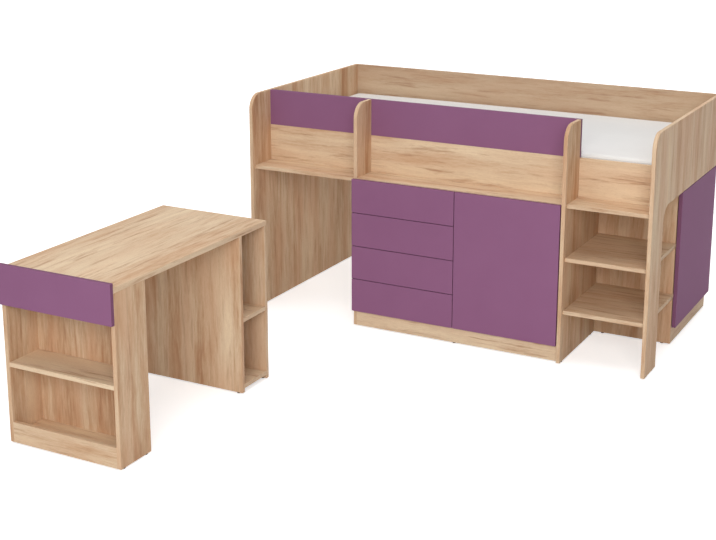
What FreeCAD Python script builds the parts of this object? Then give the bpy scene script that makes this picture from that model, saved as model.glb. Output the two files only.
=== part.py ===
"""Child's half-height loft bed with a pull-out desk, built from laminated boards, in millimetres.

The bed stands on a drawer cabinet, a ladder and an end cabinet. The desk stands in front of its bay.
X runs along the bed, Y from the front to the back, Z up. Sizes are worked out from the bed's own corner,
the left end panel's outer face, the front plane and the floor, and the whole part is then moved so that
the origin lies on the floor under the middle of the part.
"""
import FreeCAD, Part
import math
import os

V = FreeCAD.Vector

# Boards and edges
board_t = 18.0
edge_bevel = 0.8
corner_radius = 75.0
glide_height = 5.0
glide_radius = 8.0
glide_bevel = 1.5
glide_inset = 40.0

# Mattress and bed base
mattress_length = 2000.0
mattress_width = 900.0
mattress_t = 120.0
mattress_end_play = 2.0
mattress_side_play = 3.0
mattress_lift = 0.3
mattress_corner = 26.0
mattress_crown = 7.0
mattress_draw_in = 5.0
mattress_end_round = 14.0
mattress_stations = (0.3, 0.7)
slat_count = 13
slat_w = 70.0
slat_t = 18.0
slat_end_play = 2.0
slat_margin = 25.0
bearer_w = 20.0
bearer_h = 40.0
base_rise = 78.0

# Bed heights and bays
bed_height = 1105.0
guard_height = 176.0
rail_height = 181.0
ledge_depth = 170.0
desk_bay_width = 554.0
drawer_bay_width = 510.0
ladder_bay_width = 376.0
cabinet_depth = 486.0
step_count = 3
step_pitch = 248.0

# Fronts
front_t = 18.0
front_gap = 4.0
front_reveal = 3.0
front_top_reveal = 4.0
front_drop = 2.0
door_hinge_gap = 5.0
drawer_count = 4

# Front cabinet inside
plinth_height = 80.0
cabinet_back_t = 4.0
shelf_height = 438.0
shelf_setback = 30.0
shelf_play = 1.0
shelf_pin_radius = 2.5
shelf_pin_length = 10.0
shelf_pin_inset = 50.0

# Drawers and runners
drawer_side_t = 12.0
drawer_bottom_t = 3.0
drawer_box_rise = 29.0
drawer_headroom = 31.0
drawer_back_gap = 34.0
runner_space = 12.5
runner_h = 35.0
runner_end_gap = 22.0
runner_sheet = 1.5
runner_flange = 9.0
runner_play = 0.3
runner_tip_play = 1.0
runner_setback = 4.0
runner_rise = 20.0

# End cabinet
end_plinth_height = 85.0
end_door_reveal = 3.0

# Concealed hinges
hinge_end_distance = 100.0
pin_inset = 8.5
pin_depth = 8.0
pin_radius = 1.5
pin_half_length = 9.5
pin_play = 0.05
cup_radius = 17.4
cup_play = 0.1
cup_wall = 1.0
cup_depth = 14.0
cup_edge = 3.0
cup_flange_t = 1.0
cup_flange_half = 26.0
cup_flange_reach = 5.0
lug_start = 7.5
lug_half = 2.5
eye_radius = 2.6
arm_half_height = 6.0
arm_sheet = 2.5
arm_reach = 14.0
arm_drop = 1.5
arm_rise = 24.0
plate_t = 3.0
plate_half_height = 12.0
plate_start = 16.0
plate_length = 40.0

# Desk
desk_length = 1052.0
desk_side_play = 5.0
desk_top_play = 5.0
desk_top_t = 22.0
desk_front_depth = 189.0
desk_rear_depth = 212.0
desk_shelf_height = 340.0
desk_bottom_rise = 17.0
desk_plinth_height = 85.0
desk_stretcher_height = 150.0
desk_glide_inset = 25.0
desk_pull = 1830.0

# Layout along X
bed_length = mattress_length + 2 * (mattress_end_play + board_t)
left_in = board_t
right_in = bed_length - board_t
side_x0 = left_in + desk_bay_width
side_x1 = side_x0 + board_t
middle_x0 = side_x1 + drawer_bay_width
middle_x1 = middle_x0 + board_t
ladder_x1 = right_in - ladder_bay_width
ladder_x0 = ladder_x1 - board_t
end_front_x = right_in - front_gap

# Layout along Y
rail_y0 = ledge_depth
rail_y1 = rail_y0 + board_t
bed_depth = rail_y1 + mattress_width + 2 * mattress_side_play + board_t
back_y0 = bed_depth - board_t
carcass_y0 = front_t + front_gap
inner_y1 = cabinet_depth - cabinet_back_t
drawer_y1 = inner_y1 - drawer_back_gap
runner_y0 = carcass_y0 + runner_setback
runner_y1 = drawer_y1 - runner_end_gap
end_y0 = cabinet_depth
end_in_y0 = end_y0 + board_t

# Layout along Z
floor_z = glide_height
rail_top = bed_height - guard_height
ledge_height = rail_top - rail_height
ledge_z0 = ledge_height - board_t
sleeping_height = ledge_height + base_rise
plinth_top = floor_z + plinth_height
bottom_top = plinth_top + board_t
fronts_z0 = plinth_top - front_drop
fronts_z1 = ledge_height - front_top_reveal
drawer_pitch = (fronts_z1 - fronts_z0 + front_reveal) / drawer_count
drawer_front_h = drawer_pitch - front_reveal
drawer_box_h = drawer_front_h - drawer_box_rise - drawer_headroom
end_plinth_top = floor_z + end_plinth_height
end_bottom_top = end_plinth_top + board_t
end_door_z0 = end_plinth_top - front_drop
end_door_z1 = ledge_height - end_door_reveal

# Desk layout, where it stands in front of the bed
desk_x0 = left_in + desk_side_play
desk_x1 = side_x0 - desk_side_play
fascia_y0 = -desk_pull
desk_y0 = fascia_y0 + front_t
desk_y1 = desk_y0 + desk_length
desk_front_y1 = desk_y0 + desk_front_depth
desk_rear_y0 = desk_y1 - desk_rear_depth
desk_height = ledge_z0 - desk_top_play
desk_under = desk_height - desk_top_t
desk_bottom_z0 = floor_z + desk_bottom_rise
desk_bottom_z1 = desk_bottom_z0 + board_t

# Hinge layout, in the hinge's own plane: u points to the door's hinge edge, v into the cabinet
door_back_v = front_t - pin_depth
cup_u = pin_inset - cup_edge - cup_play - cup_radius
cup_floor_v = door_back_v - cup_depth

origin = V(bed_length / 2, (fascia_y0 + bed_depth) / 2, 0)


def bevelled(solid, size=edge_bevel):
    """The solid with a small flat on every edge, as edge banding is trimmed."""
    return solid.makeChamfer(size, solid.Edges)


def block(x0, x1, y0, y1, z0, z1):
    """A plain box between two corners."""
    return Part.makeBox(x1 - x0, y1 - y0, z1 - z0, V(x0, y0, z0))


def board(x0, x1, y0, y1, z0, z1):
    """A board cut square, with trimmed edges."""
    return bevelled(block(x0, x1, y0, y1, z0, z1))


def panel(x0, outline):
    """A board standing across the bed, from an outline of lines and arcs in the YZ plane."""
    face = Part.Face(Part.Wire(Part.__sortEdges__(outline)))
    return bevelled(face.extrude(V(board_t, 0, 0))).translated(V(x0, 0, 0))


def path(*points):
    """Straight edges through points (y, z) of the YZ plane."""
    corners = [V(0, y, z) for y, z in points]
    return [Part.makeLine(a, b) for a, b in zip(corners, corners[1:])]


def quarter(centre_y, centre_z, radius, start):
    """A quarter circle in the YZ plane that starts at an angle in degrees, counted from +Y to +Z."""
    turns = (start, start + 45, start + 90)
    spots = []
    for turn in turns:
        angle = math.radians(turn)
        spots.append(V(0, centre_y + radius * math.cos(angle), centre_z + radius * math.sin(angle)))
    return Part.Arc(*spots).toShape()


def top_front_round(front):
    """The rounded top front corner of a panel whose front edge lies at a place along Y."""
    return quarter(front + corner_radius, bed_height - corner_radius, corner_radius, 90)


def left_end_panel():
    outline = path((corner_radius, bed_height), (bed_depth, bed_height), (bed_depth, floor_z), (0, floor_z),
                   (0, bed_height - corner_radius))
    return panel(0, outline + [top_front_round(0)])


def right_end_panel():
    """Upper board and front post in one, with a hollow corner between them."""
    post_edge = path((0, bed_height - corner_radius), (0, floor_z), (ledge_depth, floor_z),
                     (ledge_depth, ledge_height - corner_radius))
    hollow = quarter(ledge_depth + corner_radius, ledge_height - corner_radius, corner_radius, 90)
    upper_edge = path((ledge_depth + corner_radius, ledge_height), (bed_depth, ledge_height),
                      (bed_depth, bed_height), (corner_radius, bed_height))
    return panel(right_in, post_edge + [hollow] + upper_edge + [top_front_round(0)])


def fin_panel(x0, front):
    """A cabinet side that goes on upwards in front of the rail as a fin."""
    outline = path((front + corner_radius, bed_height), (ledge_depth, bed_height), (ledge_depth, ledge_height),
                   (cabinet_depth, ledge_height), (cabinet_depth, floor_z), (front, floor_z),
                   (front, bed_height - corner_radius))
    return panel(x0, outline + [top_front_round(front)])


def frame_boards():
    """The boards that carry the bed."""
    return {
        "left_end_panel": left_end_panel(),
        "right_end_panel": right_end_panel(),
        "back_rail": board(left_in, right_in, back_y0, bed_depth, ledge_height, bed_height),
        "front_rail": board(left_in, right_in, rail_y0, rail_y1, ledge_height, rail_top),
        "front_guard": board(left_in, ladder_x1, rail_y0, rail_y1, rail_top, bed_height),
        "desk_bay_ledge": board(left_in, side_x0, carcass_y0, rail_y1, ledge_z0, ledge_height),
        "drawer_side_panel": fin_panel(side_x0, carcass_y0),
        "ladder_panel": fin_panel(ladder_x0, 0),
    }


def front_cabinet():
    """The cabinet under the ledge, apart from its two sides."""
    shelf_y0 = carcass_y0 + shelf_setback
    shelf_x0 = middle_x1 + shelf_play
    shelf_x1 = ladder_x0 - shelf_play
    shelf_z0 = shelf_height - board_t
    return {
        "middle_partition": board(middle_x0, middle_x1, carcass_y0, inner_y1, bottom_top, ledge_z0),
        "cabinet_top": board(side_x1, ladder_x0, carcass_y0, cabinet_depth, ledge_z0, ledge_height),
        "cabinet_bottom": board(side_x1, ladder_x0, carcass_y0, inner_y1, plinth_top, bottom_top),
        "cabinet_plinth": board(side_x1, ladder_x0, carcass_y0, carcass_y0 + board_t, floor_z, plinth_top),
        "cabinet_back": block(side_x1, ladder_x0, inner_y1, cabinet_depth, plinth_top, ledge_z0),
        "cabinet_shelf": board(shelf_x0, shelf_x1, shelf_y0, inner_y1, shelf_z0, shelf_height),
    }


def ladder_steps():
    """Step boards between the ladder panel and the post, the top one level with the ledge."""
    steps = []
    for number in range(step_count):
        top = ledge_height - number * step_pitch
        steps.append(board(ladder_x1, right_in, carcass_y0, cabinet_depth, top - board_t, top))
    return Part.makeCompound(steps)


def end_cabinet():
    """The cabinet behind the ladder, which opens to the right end of the bed."""
    shelf_x1 = end_front_x - shelf_setback
    shelf_z0 = shelf_height - board_t
    shelf_y0 = end_in_y0 + shelf_play
    shelf_y1 = back_y0 - shelf_play
    return {
        "end_cabinet_front_panel": board(ladder_x0, end_front_x, end_y0, end_in_y0, floor_z, ledge_height),
        "end_cabinet_rear_panel": board(ladder_x0, end_front_x, back_y0, bed_depth, floor_z, ledge_height),
        "end_cabinet_inner_panel": board(ladder_x0, ladder_x1, end_in_y0, back_y0, floor_z, ledge_height),
        "end_cabinet_top": board(ladder_x1, end_front_x, end_in_y0, back_y0, ledge_z0, ledge_height),
        "end_cabinet_bottom": board(ladder_x1, end_front_x, end_in_y0, back_y0, end_plinth_top, end_bottom_top),
        "end_cabinet_plinth": board(end_front_x - board_t, end_front_x, end_in_y0, back_y0, floor_z,
                                    end_plinth_top),
        "end_cabinet_shelf": board(ladder_x1, shelf_x1, shelf_y0, shelf_y1, shelf_z0, shelf_height),
    }


def shelf_pins():
    """Round pins in the cabinet walls, under the loose shelves."""
    z = shelf_height - board_t - shelf_pin_radius
    pins = []
    front = carcass_y0 + shelf_setback + shelf_pin_inset
    rear = inner_y1 - shelf_pin_inset
    for y in (front, rear):
        pins.append(Part.makeCylinder(shelf_pin_radius, shelf_pin_length, V(middle_x1, y, z), V(1, 0, 0)))
        pins.append(Part.makeCylinder(shelf_pin_radius, shelf_pin_length, V(ladder_x0, y, z), V(-1, 0, 0)))
    near = end_front_x - shelf_setback - shelf_pin_inset
    far = ladder_x1 + shelf_pin_inset
    for x in (near, far):
        pins.append(Part.makeCylinder(shelf_pin_radius, shelf_pin_length, V(x, end_in_y0, z), V(0, 1, 0)))
        pins.append(Part.makeCylinder(shelf_pin_radius, shelf_pin_length, V(x, back_y0, z), V(0, -1, 0)))
    return Part.makeCompound(pins)


def bed_base():
    """Battens on the rails and the slats that lie on them."""
    slat_z0 = sleeping_height - slat_t
    bearer_z0 = slat_z0 - bearer_h
    bearers = [board(left_in, right_in, rail_y1, rail_y1 + bearer_w, bearer_z0, slat_z0),
               board(left_in, right_in, back_y0 - bearer_w, back_y0, bearer_z0, slat_z0)]
    first = left_in + slat_margin
    pitch = (right_in - slat_margin - slat_w - first) / (slat_count - 1)
    slats = []
    for number in range(slat_count):
        x0 = first + number * pitch
        slats.append(board(x0, x0 + slat_w, rail_y1 + slat_end_play, back_y0 - slat_end_play, slat_z0,
                           sleeping_height))
    return {"slat_bearers": Part.makeCompound(bearers), "bed_slats": Part.makeCompound(slats)}


def mattress_section(x, sink, draw_in, crown):
    """The mattress cut across at a place along the bed: flat below, crowned above, with round edges."""
    z0 = sleeping_height + mattress_lift + sink
    y0 = rail_y1 + mattress_side_play + draw_in + sink
    y1 = back_y0 - mattress_side_play - draw_in - sink
    shoulder = sleeping_height + mattress_lift + mattress_t - 2 * mattress_crown + crown - sink
    r = mattress_corner - sink
    lean = r * (1 - math.sqrt(0.5))
    middle = (y0 + y1) / 2
    edges = [Part.makeLine(V(x, y0 + r, z0), V(x, y1 - r, z0)),
             Part.Arc(V(x, y1 - r, z0), V(x, y1 - lean, z0 + lean), V(x, y1, z0 + r)).toShape(),
             Part.makeLine(V(x, y1, z0 + r), V(x, y1, shoulder - r)),
             Part.Arc(V(x, y1, shoulder - r), V(x, y1 - lean, shoulder - lean), V(x, y1 - r, shoulder)).toShape(),
             Part.Arc(V(x, y1 - r, shoulder), V(x, middle, shoulder + mattress_crown),
                      V(x, y0 + r, shoulder)).toShape(),
             Part.Arc(V(x, y0 + r, shoulder), V(x, y0 + lean, shoulder - lean), V(x, y0, shoulder - r)).toShape(),
             Part.makeLine(V(x, y0, shoulder - r), V(x, y0, z0 + r)),
             Part.Arc(V(x, y0, z0 + r), V(x, y0 + lean, z0 + lean), V(x, y0 + r, z0)).toShape()]
    return Part.Wire(edges)


def mattress():
    """A foam mattress with round ends, a middle higher than the ends, and sides that draw in between corners."""
    x0 = left_in + mattress_end_play
    x1 = right_in - mattress_end_play
    half = (x1 - x0) / 2
    places = [0, mattress_end_round * (1 - math.sqrt(0.5)), mattress_end_round]
    places += [half * share for share in mattress_stations]
    places += [2 * half - place for place in reversed(places)]
    sections = []
    for place in places:
        to_end = min(place, 2 * half - place)
        inside = max(0, mattress_end_round - to_end)
        sink = mattress_end_round - math.sqrt(mattress_end_round ** 2 - inside ** 2)
        swell = 1 - ((place - half) / half) ** 2
        sections.append(mattress_section(x0 + place, sink, mattress_draw_in * swell, mattress_crown * swell))
    return Part.makeLoft(sections, True, True)


def glide(x, y):
    """One nail-on glide under a board, narrower at the floor."""
    puck = Part.makeCylinder(glide_radius, glide_height, V(x, y, 0))
    foot = [edge for edge in puck.Edges if edge.BoundBox.ZMax < glide_bevel]
    return puck.makeChamfer(glide_bevel, foot)


def frame_glides():
    """Glides under the upright boards of the bed and under the middle of the front plinth."""
    half = board_t / 2
    spots = [(half, glide_inset), (half, bed_depth - glide_inset),
             (side_x0 + half, carcass_y0 + glide_inset), (side_x0 + half, cabinet_depth - glide_inset),
             (ladder_x0 + half, glide_inset), (ladder_x0 + half, cabinet_depth - glide_inset),
             ((middle_x0 + middle_x1) / 2, carcass_y0 + half),
             (right_in + half, glide_inset), (right_in + half, ledge_depth - glide_inset),
             (ladder_x1 + glide_inset, end_y0 + half), (end_front_x - glide_inset, end_y0 + half),
             (ladder_x0 + half, (end_in_y0 + back_y0) / 2),
             (ladder_x1 + glide_inset, back_y0 + half), (end_front_x - glide_inset, back_y0 + half)]
    return Part.makeCompound([glide(x, y) for x, y in spots])


def drawer_z(number):
    """The lower edge of a drawer front, counted from the top drawer."""
    return fronts_z0 + (drawer_count - 1 - number) * drawer_pitch


def channel(wall, web_from, flange_from, flange_to, half, z):
    """A rolled channel along Y, a web with two flanges, at distances from a cabinet wall (place, direction)."""
    place, direction = wall
    spans = [(web_from, web_from + runner_sheet, -half, half),
             (flange_from, flange_to, half - runner_sheet, half),
             (flange_from, flange_to, -half, runner_sheet - half)]
    pieces = []
    for near, far, low, high in spans:
        x0, x1 = sorted((place + direction * near, place + direction * far))
        pieces.append(block(x0, x1, runner_y0, runner_y1, z + low, z + high))
    return pieces[0].fuse(pieces[1:]).removeSplitter()


def runner_pair(number, wall):
    """The fixed channel on a cabinet wall and the channel on the drawer that slides inside it."""
    z = drawer_z(number) + drawer_box_rise + runner_rise + runner_h / 2
    fixed = channel(wall, 0, 0, runner_flange, runner_h / 2, z)
    inner_half = runner_h / 2 - runner_sheet - runner_play
    inner_from = runner_sheet + runner_tip_play
    sliding = channel(wall, runner_space - runner_sheet, inner_from, runner_space, inner_half, z)
    return fixed, sliding


def drawer_box(number):
    """Two sides and a back standing on a thin bottom, behind the drawer front."""
    x0 = side_x1 + runner_space
    x1 = middle_x0 - runner_space
    y0 = front_t
    y1 = drawer_y1
    z0 = drawer_z(number) + drawer_box_rise
    z1 = z0 + drawer_bottom_t
    z2 = z0 + drawer_box_h
    return Part.makeCompound([
        board(x0, x0 + drawer_side_t, y0, y1, z1, z2),
        board(x1 - drawer_side_t, x1, y0, y1, z1, z2),
        board(x0 + drawer_side_t, x1 - drawer_side_t, y1 - drawer_side_t, y1, z1, z2),
        block(x0, x1, y0, y1, z0, z1),
    ])


def drawers():
    """Every drawer's front, box and sliding runner members, and all fixed runner members."""
    nodes = {}
    fixed_members = []
    walls = ((side_x1, 1), (middle_x0, -1))
    fronts_x1 = (middle_x0 + middle_x1 - front_reveal) / 2
    for number in range(drawer_count):
        name = f"drawer_{number + 1}"
        z0 = drawer_z(number)
        nodes[f"{name}_front"] = board(side_x0, fronts_x1, 0, front_t, z0, z0 + drawer_front_h)
        nodes[f"{name}_box"] = drawer_box(number)
        sliding_members = []
        for wall in walls:
            fixed, sliding = runner_pair(number, wall)
            fixed_members.append(fixed)
            sliding_members.append(sliding)
        nodes[f"{name}_runners"] = Part.makeCompound(sliding_members)
    nodes["cabinet_runners"] = Part.makeCompound(fixed_members)
    return nodes


def hinge_cup():
    """A pressed cup with a flange on the door and two lugs that hold the pin's ends."""
    axis = V(0, 1, 0)
    base = V(cup_u, cup_floor_v, 0)
    outside = Part.makeCylinder(cup_radius, cup_depth, base, axis)
    inside = Part.makeCylinder(cup_radius - cup_wall, cup_depth, V(cup_u, cup_floor_v + cup_wall, 0), axis)
    flange = block(cup_u - cup_flange_half / 2, cup_flange_reach, door_back_v, door_back_v + cup_flange_t,
                   -cup_flange_half, cup_flange_half)
    cup = outside.fuse(flange).cut(inside)
    cup = cup.cut(inside.translated(V(0, cup_flange_t, 0)))
    lug_from = -lug_half
    lug_to = cup_u + cup_radius
    low = block(lug_from, lug_to, cup_floor_v, lug_half, -cup_radius, -lug_start)
    high = block(lug_from, lug_to, cup_floor_v, lug_half, lug_start, cup_radius)
    lugs = [low.common(outside), high.common(outside)]
    hole = Part.makeCylinder(pin_radius + pin_play, 2 * pin_half_length, V(0, 0, -pin_half_length))
    return cup.fuse(lugs).cut(hole).removeSplitter()


def hinge_pin():
    return Part.makeCylinder(pin_radius, 2 * pin_half_length, V(0, 0, -pin_half_length))


def hinge_arm(seat):
    """A bent arm: an eye on the pin, a foot and a leg in the cup, and a plate on a wall at u = seat."""
    low = -arm_half_height
    high = arm_half_height
    leg_u = -arm_reach - arm_sheet
    foot_v = -arm_drop
    eye = Part.makeCylinder(eye_radius, high - low, V(0, 0, low))
    foot = block(leg_u, 0, foot_v, foot_v + arm_sheet, low, high)
    leg = block(leg_u, -arm_reach, foot_v, arm_rise + arm_sheet, low, high)
    cross = block(leg_u, seat, arm_rise, arm_rise + arm_sheet, low, high)
    plate = block(seat - plate_t, seat, plate_start, plate_start + plate_length, -plate_half_height,
                  plate_half_height)
    bore = Part.makeCylinder(pin_radius + pin_play, high - low, V(0, 0, low))
    return eye.fuse([foot, leg, cross, plate]).cut(bore).removeSplitter()


def place_hinge(shape, pin, turn):
    """The shape moved from the hinge's own plane to a pin on the part."""
    placed = shape.copy()
    placed.Placement = FreeCAD.Placement(pin, FreeCAD.Rotation(V(0, 0, 1), turn))
    return placed


def cup_bore(pin, turn):
    """The round pocket that a hinge cup sits in."""
    pocket = Part.makeCylinder(cup_radius + cup_play, cup_depth, V(cup_u, cup_floor_v, 0), V(0, 1, 0))
    return place_hinge(pocket, pin, turn)


def hinged_door(name, slab, pin_x, pin_y, turn, seat, z0, z1):
    """A door with its pockets, cups and pins, and the arms on the cabinet wall beside it."""
    cups = []
    pins = []
    arms = []
    for z in (z0 + hinge_end_distance, z1 - hinge_end_distance):
        pin = V(pin_x, pin_y, z)
        slab = slab.cut(cup_bore(pin, turn))
        cups.append(place_hinge(hinge_cup(), pin, turn))
        pins.append(place_hinge(hinge_pin(), pin, turn))
        arms.append(place_hinge(hinge_arm(seat), pin, turn))
    return {
        f"{name}_door": slab,
        f"{name}_hinge_cups": Part.makeCompound(cups),
        f"{name}_hinge_pins": Part.makeCompound(pins),
        f"{name}_hinge_arms": Part.makeCompound(arms),
    }


def cabinet_door():
    """The door beside the drawers, hung on the ladder panel."""
    x0 = (middle_x0 + middle_x1 + front_reveal) / 2
    x1 = ladder_x0 - door_hinge_gap
    slab = board(x0, x1, 0, front_t, fronts_z0, fronts_z1)
    seat = pin_inset + door_hinge_gap
    return hinged_door("cabinet", slab, x1 - pin_inset, pin_depth, 0, seat, fronts_z0, fronts_z1)


def end_door():
    """The door in the right end of the bed, hung on the end cabinet's rear panel."""
    y1 = bed_depth - door_hinge_gap
    slab = board(right_in, right_in + front_t, end_y0, y1, end_door_z0, end_door_z1)
    pin_y = y1 - pin_inset
    pin_x = right_in + front_t - pin_depth
    return hinged_door("end", slab, pin_x, pin_y, 90, back_y0 - pin_y, end_door_z0, end_door_z1)


def desk_front_pedestal():
    """The shallow bookcase under the front end of the desk, open to the front."""
    in_x0 = desk_x0 + board_t
    in_x1 = desk_x1 - board_t
    back_from = desk_front_y1 - board_t
    plinth_back = desk_y0 + board_t
    plinth_z1 = floor_z + desk_plinth_height
    sides = [board(desk_x0, in_x0, desk_y0, desk_front_y1, floor_z, desk_under),
             board(in_x1, desk_x1, desk_y0, desk_front_y1, floor_z, desk_under)]
    shelves = [board(in_x0, in_x1, desk_y0, back_from, desk_shelf_height - board_t, desk_shelf_height),
               board(in_x0, in_x1, plinth_back, back_from, desk_bottom_z0, desk_bottom_z1)]
    fascia_z0 = drawer_z(0)
    return {
        "desk_front_sides": Part.makeCompound(sides),
        "desk_front_shelves": Part.makeCompound(shelves),
        "desk_front_back": board(in_x0, in_x1, back_from, desk_front_y1, floor_z, desk_under),
        "desk_plinth": board(in_x0, in_x1, desk_y0, plinth_back, floor_z, plinth_z1),
        "desk_fascia": board(desk_x0, desk_x1, fascia_y0, desk_y0, fascia_z0, fascia_z0 + drawer_front_h),
    }


def desk_rear_pedestal():
    """The narrow bookcase under the rear end of the desk, open to the sitter's side."""
    in_x0 = desk_x0 + board_t
    in_y0 = desk_rear_y0 + board_t
    in_y1 = desk_y1 - board_t
    panels = [board(desk_x0, desk_x1, desk_rear_y0, in_y0, floor_z, desk_under),
              board(desk_x0, desk_x1, in_y1, desk_y1, floor_z, desk_under)]
    shelves = [board(in_x0, desk_x1, in_y0, in_y1, desk_shelf_height - board_t, desk_shelf_height),
               board(in_x0, desk_x1, in_y0, in_y1, desk_bottom_z0, desk_bottom_z1)]
    return {
        "desk_rear_panels": Part.makeCompound(panels),
        "desk_rear_shelves": Part.makeCompound(shelves),
        "desk_rear_side": board(desk_x0, in_x0, in_y0, in_y1, floor_z, desk_under),
    }


def desk():
    """The whole desk, which slides in under the ledge on its left."""
    nodes = desk_front_pedestal()
    nodes.update(desk_rear_pedestal())
    half = board_t / 2
    nodes["desk_top"] = board(desk_x0, desk_x1, desk_y0, desk_y1, desk_under, desk_height)
    nodes["desk_stretcher"] = board(desk_x0, desk_x0 + board_t, desk_front_y1, desk_rear_y0,
                                    desk_under - desk_stretcher_height, desk_under)
    spots = []
    for x in (desk_x0 + half, desk_x1 - half):
        spots.append((x, desk_y0 + desk_glide_inset))
        spots.append((x, desk_front_y1 - desk_glide_inset))
    for x in (desk_x0 + desk_glide_inset, desk_x1 - desk_glide_inset):
        spots.append((x, desk_rear_y0 + half))
        spots.append((x, desk_y1 - half))
    nodes["desk_glides"] = Part.makeCompound([glide(x, y) for x, y in spots])
    return nodes


def main():
    nodes = frame_boards()
    nodes.update(front_cabinet())
    nodes["ladder_steps"] = ladder_steps()
    nodes.update(end_cabinet())
    nodes["shelf_pins"] = shelf_pins()
    nodes.update(bed_base())
    nodes["mattress"] = mattress()
    nodes["frame_glides"] = frame_glides()
    nodes.update(drawers())
    nodes.update(cabinet_door())
    nodes.update(end_door())
    nodes.update(desk())
    os.makedirs("parts", exist_ok=True)
    for name, shape in nodes.items():
        moved = shape.translated(-origin)
        moved.exportStep(os.path.join("parts", f"{name}.step"))
    print(len(nodes), "nodes")


main()
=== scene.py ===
"""Dresses the loft bed and its desk: oak boards, purple fronts, hardware, a mattress and a plain studio."""

import math

import bmesh
import bpy
from bpy.props import FloatProperty, FloatVectorProperty, PointerProperty
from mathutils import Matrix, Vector


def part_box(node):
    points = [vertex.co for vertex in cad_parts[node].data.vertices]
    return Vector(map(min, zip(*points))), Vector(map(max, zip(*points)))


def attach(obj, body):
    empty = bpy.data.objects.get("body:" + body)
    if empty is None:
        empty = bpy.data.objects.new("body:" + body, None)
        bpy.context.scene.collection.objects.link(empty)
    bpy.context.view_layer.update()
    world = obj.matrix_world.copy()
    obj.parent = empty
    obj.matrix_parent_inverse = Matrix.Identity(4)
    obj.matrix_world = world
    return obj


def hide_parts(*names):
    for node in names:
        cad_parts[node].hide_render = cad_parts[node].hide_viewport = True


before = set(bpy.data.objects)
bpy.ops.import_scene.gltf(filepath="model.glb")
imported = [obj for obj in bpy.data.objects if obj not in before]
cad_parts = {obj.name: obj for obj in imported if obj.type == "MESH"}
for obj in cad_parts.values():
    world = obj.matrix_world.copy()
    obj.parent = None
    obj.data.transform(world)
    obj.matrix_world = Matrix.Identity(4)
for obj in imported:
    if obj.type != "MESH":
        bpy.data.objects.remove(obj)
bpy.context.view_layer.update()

bl_info = {
    "name": "Loft bed dressing",
    "version": (1, 0, 0),
    "blender": (4, 5, 0),
    "location": "3D View > Sidebar > Loft bed",
    "description": "Finishes, hardware and bedding for a loft bed with a pull-out desk",
    "category": "Object",
}

AXES = "xyz"
DRAWERS = range(1, 5)

# Nodes whose grain runs along the first axis and whose boards are thin along the second
OAK_NODES = {
    "zx": ["left_end_panel", "right_end_panel", "drawer_side_panel", "ladder_panel", "middle_partition",
           "end_cabinet_inner_panel", "desk_front_sides", "desk_rear_side"],
    "zy": ["end_cabinet_front_panel", "end_cabinet_rear_panel", "desk_front_back", "desk_rear_panels"],
    "xy": ["back_rail", "front_rail", "cabinet_plinth", "desk_plinth"],
    "xz": ["desk_bay_ledge", "cabinet_top", "cabinet_bottom", "cabinet_shelf", "ladder_steps",
           "desk_front_shelves", "desk_rear_shelves"],
    "yz": ["end_cabinet_top", "end_cabinet_bottom", "end_cabinet_shelf", "desk_top"],
    "yx": ["end_cabinet_plinth", "desk_stretcher"],
}
# Boards given their own painted light and shade: how much lighter the figure is painted, as painted light on
# the desk shelves in the niche, and how much of the grey tint is mixed in, as painted shade on the back rail
# and the ladder steps
OAK_PAINTED_LIGHT_SHADE = {"back_rail": (0.0, 0.38), "ladder_steps": (0.0, 0.1), "desk_front_shelves": (0.3, 0.0)}
# Purple boards by the axis along which they are thin
FRONT_NODES = {
    "x": ["end_door"],
    "y": ["front_guard", "desk_fascia", "cabinet_door"] + [f"drawer_{number}_front" for number in DRAWERS],
}
DRAWER_BOXES = [f"drawer_{number}_box" for number in DRAWERS]
RUNNER_NODES = ["cabinet_runners"] + [f"drawer_{number}_runners" for number in DRAWERS]
HINGE_NODES = ["cabinet_hinge_arms", "end_hinge_arms", "cabinet_hinge_cups", "end_hinge_cups",
               "cabinet_hinge_pins", "end_hinge_pins", "shelf_pins"]
GLIDE_NODES = ["frame_glides", "desk_glides"]

# Layers of the oak figure: changes per metre along and across the grain, detail, roughness, start
OAK_LAYERS = {
    "zone": (1.3, 5.5, 2.0, 0.5, 5.3),
    "band": (2.4, 24, 3.0, 0.6, 0.0),
    "dash": (8, 95, 4.0, 0.65, 0.0),
    "fibre": (24, 420, 3.0, 0.65, 0.0),
    "warmth": (1.6, 11, 2.0, 0.5, 3.7),
    "heart": (3.6, 46, 4.0, 0.65, 7.1),
    "pore": (60, 1500, 1.0, 0.5, 0.0),
}
# How strongly a layer moves the oak's tone
OAK_TONES = {"zone": 0.55, "band": 0.95, "dash": 0.65, "fibre": 0.52}

# Screw and nail heads, as shares of their radius and then of their height
HEAD_SIDES = 12
HEAD_HEIGHT = 0.4
HEAD_SLOPE = 0.35
RECESS_RIM = 0.25
HEAD_DOME = 0.3
RECESS_DEPTH = 0.7

# The cloth that presses the mattress out, and the steps in its round edges and its tape
PRESS_FRAMES = 20
PRESS_QUALITY = 4
PRESS_MASS = 0.3
PRESS_FORCE = 4.0
EDGE_STEPS = 4
TAPE_CORNER_STEPS = 6
TAPE_CUTS = 48

# The studio floor: its size, how far from the middle it takes shadows, where it is plain white, its colours
# and how brightly it shows near the bed
FLOOR_SIZE = 120.0
FLOOR_SHADOW = 2.2
FLOOR_WHITE = 4.5
FLOOR_PALE = (0.86, 0.86, 0.86)
FLOOR_DULL = (0.55, 0.55, 0.55)
FLOOR_SHOWN = 0.55

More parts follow.
